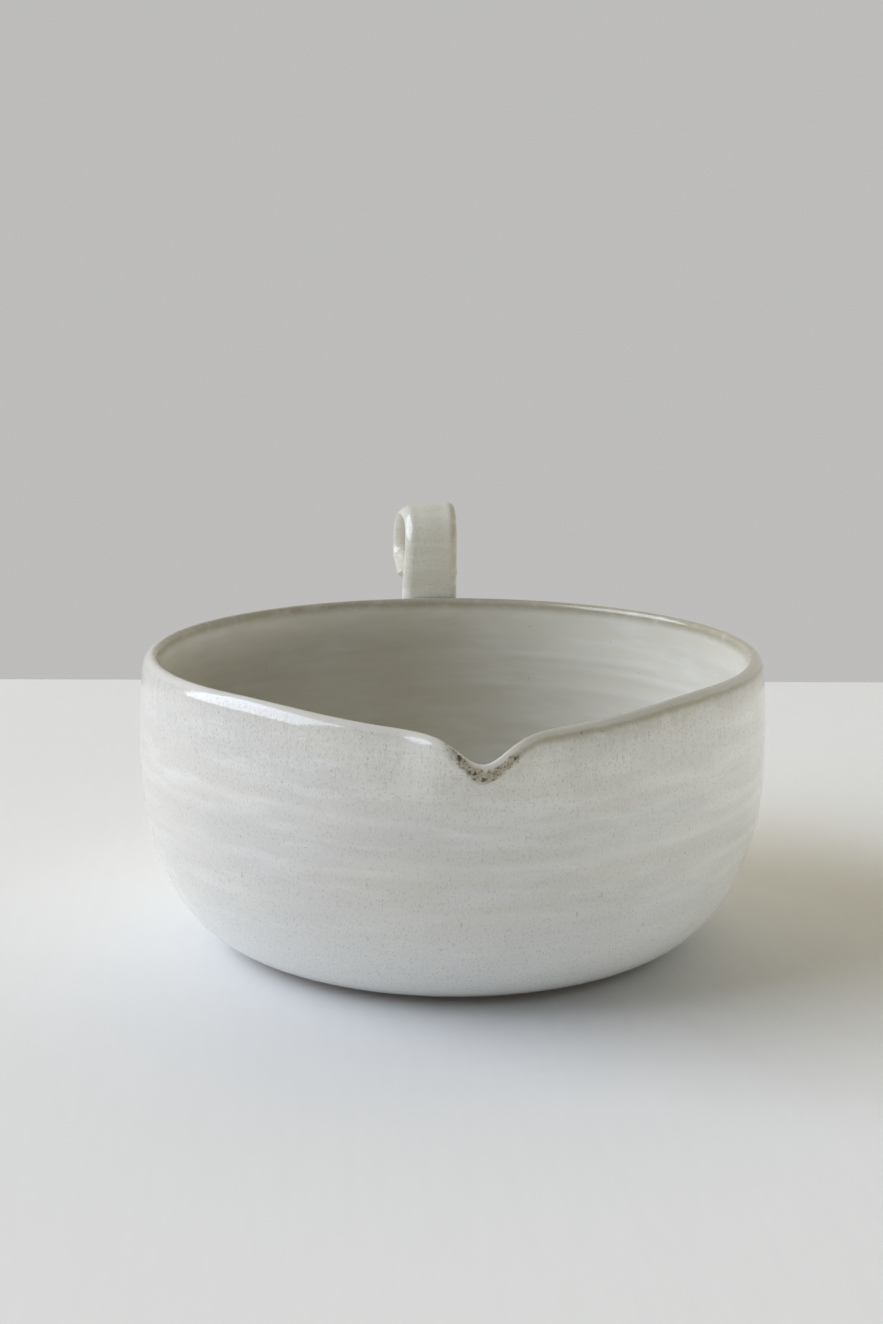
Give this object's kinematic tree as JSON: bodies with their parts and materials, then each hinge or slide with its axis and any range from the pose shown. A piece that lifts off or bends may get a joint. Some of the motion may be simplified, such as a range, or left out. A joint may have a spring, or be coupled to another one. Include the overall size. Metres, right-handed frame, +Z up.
{
  "type": "serving bowl",
  "caption": "Round stoneware serving bowl with a pulled pouring lip at the front and a curled strap handle standing above the rim at the back.",
  "frame": {"origin": "centre of the flat base, on the table", "axes": "+Z up along the axis of the bowl, -Y to the pouring lip, +Y to the handle"},
  "size_m": [0.1998, 0.2486, 0.1262],
  "materials": {
    "bowl_glaze": "off-white satin gloss glaze with fine iron specks, breaking to tan on the rim, over stoneware; the base is bare clay",
    "handle_glaze": "the bowl's off-white satin gloss glaze",
    "root_coil_glaze": "the bowl's off-white satin gloss glaze",
    "tip_coil_glaze": "the bowl's off-white satin gloss glaze"
  },
  "bodies": {
    "root": {"thrown_bowl": "bowl_glaze", "strap_handle": "handle_glaze", "root_luting_coil": "root_coil_glaze", "tip_luting_coil": "tip_coil_glaze"}
  },
  "joints": []
}
